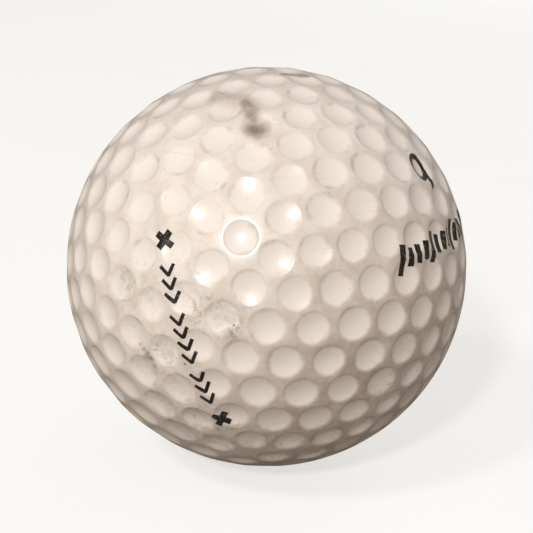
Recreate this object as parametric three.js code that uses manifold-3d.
// A wound golf ball: two dimpled cover halves over two layers of rubber thread, a hollow rubber centre
// made of two cups, and the filling inside it. Millimetres, +Z up, origin at the middle of the ball.
//
// Every layer is made in the ball's own frame, where +Z runs through the pole of cover_upper and the seam
// lies in the plane Z = 0. One turned group then lays the finished ball on a small flat resting facet.

import * as THREE from 'three';
import { ConvexGeometry } from 'three/addons/geometries/ConvexGeometry.js';
import { mergeVertices } from 'three/addons/utils/BufferGeometryUtils.js';
import Module from 'manifold-3d';

const wasm = await Module();
wasm.setup();

// Driving dimensions, in millimetres.
const BALL_DIAMETER = 42.67;
const DIMPLE_DEPTH = 0.3;
const LEAST_LAND_WIDTH = 0.2;
const COVER_THICKNESS = 1.6;
const FINISH_WINDING_THICKNESS = 3.0;
const BASE_WINDING_THICKNESS = 2.2;
const CENTRE_WALL = 1.9;
const LAYER_GAP = 0.25;
const SEAM_GAP = 0.1;
const THREAD_OPENING = 1.4;

// The dimple layout: an icosahedral lattice around the pole, drawn towards it to leave the seam clear.
const CAP_ROWS = 6;
const BAND_ROWS = 3;
const LAST_ROW_ANGLE = THREE.MathUtils.degToRad(84.2);
const SPREADING_STEPS = 80;
const SPREADING_STRIDE = 0.01;
const RIM_POINTS = 10;
const SEAM_POINTS = 90;

// How finely the smooth layers are faceted: each icosahedron edge is divided into this many plus one.
const LAYER_DETAIL = 3;

// Where the pole and the nearest five-sided group of dimples point when the ball lies at rest.
const POLE_DIRECTION = new THREE.Vector3(0.880, -0.372, 0.295).normalize();
const CORNER_DIRECTION = new THREE.Vector3(0.061, -0.921, 0.384).normalize();
const REST_SEARCH_ANGLE = THREE.MathUtils.degToRad(6);

const BALL_RADIUS = BALL_DIAMETER / 2;
const COVER_INNER = BALL_RADIUS - COVER_THICKNESS;
const FINISH_OUTER = COVER_INNER - LAYER_GAP;
const FINISH_INNER = FINISH_OUTER - FINISH_WINDING_THICKNESS;
const BASE_OUTER = FINISH_INNER - LAYER_GAP;
const BASE_INNER = BASE_OUTER - BASE_WINDING_THICKNESS;
const CENTRE_OUTER = BASE_INNER - LAYER_GAP;
const CENTRE_INNER = CENTRE_OUTER - CENTRE_WALL;
const FILLING_RADIUS = CENTRE_INNER - LAYER_GAP;

// An icosahedron with a corner at the pole has its next five corners at this angle from it.
const CORNER_ANGLE = Math.atan(2);
const FIFTH_TURN = (2 * Math.PI) / 5;

// ---- Directions on the ball ----

function polar(fromPole, turn) {
  const out = Math.sin(fromPole);
  return new THREE.Vector3(out * Math.cos(turn), out * Math.sin(turn), Math.cos(fromPole));
}

// The point part of the way along the great circle between two unit vectors.
function alongArc(from, to, share) {
  const axis = new THREE.Vector3().crossVectors(from, to).normalize();
  return from.clone().applyAxisAngle(axis, from.angleTo(to) * share);
}

function mirroredInSeam(point) {
  return new THREE.Vector3(point.x, point.y, -point.z);
}

// ---- Dimple layout ----

// One fifth of the upper half of the lattice: the triangle at the pole, then the band below it.
function latticeSector(sector) {
  const pole = polar(0, 0);
  const left = polar(CORNER_ANGLE, sector * FIFTH_TURN);
  const right = polar(CORNER_ANGLE, (sector + 1) * FIFTH_TURN);
  const below = polar(Math.PI - CORNER_ANGLE, (sector + 0.5) * FIFTH_TURN);
  const belowLeft = polar(Math.PI - CORNER_ANGLE, (sector - 0.5) * FIFTH_TURN);
  const points = [];
  const addRow = (from, to, steps) => {
    for (let step = 0; step < steps; step += 1) {
      points.push(alongArc(from, to, step / steps));
    }
  };
  for (let row = 1; row <= CAP_ROWS; row += 1) {
    const share = row / CAP_ROWS;
    addRow(alongArc(pole, left, share), alongArc(pole, right, share), row);
  }
  for (let row = 1; row <= BAND_ROWS; row += 1) {
    const share = row / CAP_ROWS;
    const middle = alongArc(left, below, share);
    addRow(alongArc(left, belowLeft, share), middle, row);
    addRow(middle, alongArc(right, below, share), CAP_ROWS - row);
  }
  return points;
}

// The same direction with its angle from the pole scaled, so that the last row keeps off the seam.
function drawnTowardsPole(point) {
  const fromPole = point.angleTo(polar(0, 0));
  return polar(fromPole * (LAST_ROW_ANGLE / (Math.PI / 2)), Math.atan2(point.y, point.x));
}

// A dimple centre moved a little by the push of its neighbours, which fades quickly with distance. The
// mirror images below the seam push too, so the last row stays clear of it.
function pushedApart(centre, centres, pitch) {
  const push = new THREE.Vector3();
  const away = new THREE.Vector3();
  for (const other of [...centres, ...centres.map(mirroredInSeam)]) {
    const distance = away.subVectors(centre, other).length();
    if (distance > 0 && distance < 2 * pitch) {
      push.addScaledVector(away, (pitch / distance) ** 7 / distance);
    }
  }
  return centre.clone().addScaledVector(push, SPREADING_STRIDE * pitch).normalize();
}

// Dimple centres of the upper half: the pole, five lattice sectors, then the evening out.
function upperDimpleCentres() {
  const points = [polar(0, 0)];
  for (let sector = 0; sector < 5; sector += 1) {
    points.push(...latticeSector(sector));
  }
  let centres = points.map(drawnTowardsPole);
  const areaEach = (2 * Math.PI) / centres.length;
  const pitch = Math.sqrt((2 * areaEach) / Math.sqrt(3));
  for (let step = 0; step < SPREADING_STEPS; step += 1) {
    centres = centres.map((centre) => pushedApart(centre, centres, pitch));
  }
  return centres;
}

// A dimple's centre direction and rim radius: each is as wide as its nearest neighbour allows.
function dimplesAt(centres) {
  return centres.map((centre) => {
    const distances = centres.map((other) => centre.distanceTo(other)).filter((distance) => distance > 0);
    const spacing = Math.min(...distances) * BALL_RADIUS;
    return { centre, radius: (spacing - LEAST_LAND_WIDTH) / 2 };
  });
}

// ---- Solids ----

// A manifold solid from a closed three.js geometry.
function solidFrom(geometry) {
  const bare = geometry.clone();
  bare.deleteAttribute('normal');
  bare.deleteAttribute('uv');
  const merged = mergeVertices(bare, 1e-5);
  const mesh = new wasm.Mesh({
    numProp: 3,
    vertProperties: new Float32Array(merged.getAttribute('position').array),
    triVerts: new Uint32Array(merged.getIndex().array),
  });
  return new wasm.Manifold(mesh);
}

function geometryFrom(solid) {
  const mesh = solid.getMesh();
  const geometry = new THREE.BufferGeometry();
  geometry.setAttribute('position', new THREE.BufferAttribute(mesh.vertProperties, mesh.numProp));
  geometry.setIndex(new THREE.BufferAttribute(mesh.triVerts, 1));
  geometry.computeVertexNormals();
  return geometry;
}

function ballSolid(radius) {
  return solidFrom(new THREE.IcosahedronGeometry(radius, LAYER_DETAIL));
}

// The half of a solid above the seam (side 1) or below it (side -1), trimmed back by half the seam gap.
function halfOf(solid, side) {
  const size = 2 * BALL_DIAMETER;
  const keeper = new THREE.BoxGeometry(size, size, size);
  keeper.translate(0, 0, side * (size + SEAM_GAP) / 2);
  return solid.intersect(solidFrom(keeper));
}

// Points on the sphere for one dimple: its middle, then its rim.
function dimplePoints({ centre, radius }) {
  const rimAngle = Math.asin(radius / BALL_RADIUS);
  const across = centre.x ** 2 + centre.y ** 2 > 1e-9
    ? new THREE.Vector3(0, 0, 1).cross(centre).normalize()
    : new THREE.Vector3(1, 0, 0);
  const rimStart = centre.clone().applyAxisAngle(across, rimAngle);
  const points = [centre.clone()];
  for (let step = 0; step < RIM_POINTS; step += 1) {
    points.push(rimStart.clone().applyAxisAngle(centre, (2 * Math.PI * step) / RIM_POINTS));
  }
  return points.map((point) => point.multiplyScalar(BALL_RADIUS));
}

// Points round the seam, where the smooth strip between the halves runs.
function seamPoints() {
  const points = [];
  for (let step = 0; step < SEAM_POINTS; step += 1) {
    points.push(polar(Math.PI / 2, (2 * Math.PI * step) / SEAM_POINTS).multiplyScalar(BALL_RADIUS));
  }
  return points;
}

// The outside of the cover before its dimples are sunk: flat facets between all rims and middles.
function undimpledGeometry(dimples) {
  return new ConvexGeometry([...dimples.flatMap(dimplePoints), ...seamPoints()]);
}

// The dimple whose middle a corner of that surface is, if it is one.
function dimpleUnder(corner, dimples) {
  const direction = corner.clone().normalize();
  return dimples.find((dimple) => dimple.centre.distanceToSquared(direction) < 1e-8);
}

// The same surface with every dimple's middle sunk by the depth below its rim.
function dimpledGeometry(undimpled, dimples) {
  const geometry = undimpled.clone();
  const position = geometry.getAttribute('position');
  const corner = new THREE.Vector3();
  for (let index = 0; index < position.count; index += 1) {
    corner.fromBufferAttribute(position, index);
    const dimple = dimpleUnder(corner, dimples);
    if (dimple) {
      corner.setLength(Math.sqrt(BALL_RADIUS ** 2 - dimple.radius ** 2) - DIMPLE_DEPTH);
      position.setXYZ(index, corner.x, corner.y, corner.z);
    }
  }
  return geometry;
}

// A layer of wound thread: a thick shell, open where the crossing threads leave a gap at each of the
// twelve corners of an icosahedron.
function windingSolid(outerRadius, innerRadius) {
  let shell = ballSolid(outerRadius).subtract(ballSolid(innerRadius));
  const corners = new THREE.IcosahedronGeometry(1, 0).getAttribute('position');
  const gapLength = 2 * outerRadius;
  for (let index = 0; index < corners.count; index += 1) {
    const outward = new THREE.Vector3().fromBufferAttribute(corners, index).normalize();
    const gap = new THREE.CylinderGeometry(THREAD_OPENING / 2, THREAD_OPENING / 2, gapLength, 6);
    gap.translate(0, gapLength / 2, 0);
    gap.applyQuaternion(new THREE.Quaternion().setFromUnitVectors(THREE.Object3D.DEFAULT_UP, outward));
    shell = shell.subtract(solidFrom(gap));
  }
  return shell;
}

// ---- How the ball lies ----

// The turn that brings the ball's pole, +Z, and the lattice corner beside +X to where they point at rest.
function lyingTurn() {
  const side = CORNER_DIRECTION.clone().projectOnPlane(POLE_DIRECTION).normalize();
  const third = new THREE.Vector3().crossVectors(POLE_DIRECTION, side);
  const restBasis = new THREE.Matrix4().makeBasis(side, third, POLE_DIRECTION);
  return new THREE.Quaternion().setFromRotationMatrix(restBasis);
}

// The largest facet between dimples whose outward normal is within the search angle of a direction.
function restingNormal(undimpled, dimples, down) {
  const position = undimpled.getAttribute('position');
  const triangle = new THREE.Triangle();
  const best = { area: 0, normal: down };
  for (let index = 0; index < position.count; index += 3) {
    triangle.setFromAttributeAndIndices(position, index, index + 1, index + 2);
    const normal = triangle.getNormal(new THREE.Vector3());
    if (normal.angleTo(down) > REST_SEARCH_ANGLE) {
      continue;
    }
    const corners = [triangle.a, triangle.b, triangle.c];
    const isLand = !corners.some((corner) => dimpleUnder(corner, dimples));
    const area = triangle.getArea();
    if (isLand && area > best.area) {
      best.area = area;
      best.normal = normal;
    }
  }
  return best.normal;
}

// The lying turn, nudged so that the resting facet faces straight down.
function restingTurn(undimpled, dimples) {
  const lying = lyingTurn();
  const straightDown = new THREE.Vector3(0, 0, -1);
  const down = straightDown.clone().applyQuaternion(lying.clone().invert());
  const facing = restingNormal(undimpled, dimples, down).clone().applyQuaternion(lying);
  return new THREE.Quaternion().setFromUnitVectors(facing, straightDown).multiply(lying);
}

// ---- The assembly ----

const PAINTED_COVER = { color: 0xe9e1cf, roughness: 0.22, metalness: 0 };
const FINISH_THREAD = { color: 0xc9a36b, roughness: 0.75, metalness: 0 };
const BASE_THREAD = { color: 0xa8814f, roughness: 0.8, metalness: 0 };
const CENTRE_RUBBER = { color: 0x2c2a29, roughness: 0.7, metalness: 0 };
const FILLING = { color: 0xd8cdb4, roughness: 0.35, metalness: 0 };

function piece(name, solid, finish) {
  const mesh = new THREE.Mesh(geometryFrom(solid), new THREE.MeshStandardMaterial(finish));
  mesh.name = name;
  return mesh;
}

function golfBall() {
  const upper = upperDimpleCentres();
  const dimples = dimplesAt([...upper, ...upper.map(mirroredInSeam)]);
  const undimpled = undimpledGeometry(dimples);
  const cover = solidFrom(dimpledGeometry(undimpled, dimples)).subtract(ballSolid(COVER_INNER));
  const centre = ballSolid(CENTRE_OUTER).subtract(ballSolid(CENTRE_INNER));

  const ball = new THREE.Group();
  ball.add(piece('cover_upper', halfOf(cover, 1), PAINTED_COVER));
  ball.add(piece('cover_lower', halfOf(cover, -1), PAINTED_COVER));
  ball.add(piece('winding_finish', windingSolid(FINISH_OUTER, FINISH_INNER), FINISH_THREAD));
  ball.add(piece('winding_base', windingSolid(BASE_OUTER, BASE_INNER), BASE_THREAD));
  ball.add(piece('centre_cup_upper', halfOf(centre, 1), CENTRE_RUBBER));
  ball.add(piece('centre_cup_lower', halfOf(centre, -1), CENTRE_RUBBER));
  ball.add(piece('centre_filling', ballSolid(FILLING_RADIUS), FILLING));
  ball.quaternion.copy(restingTurn(undimpled, dimples));
  return ball;
}

const object = new THREE.Group();
object.add(golfBall());

export default object;
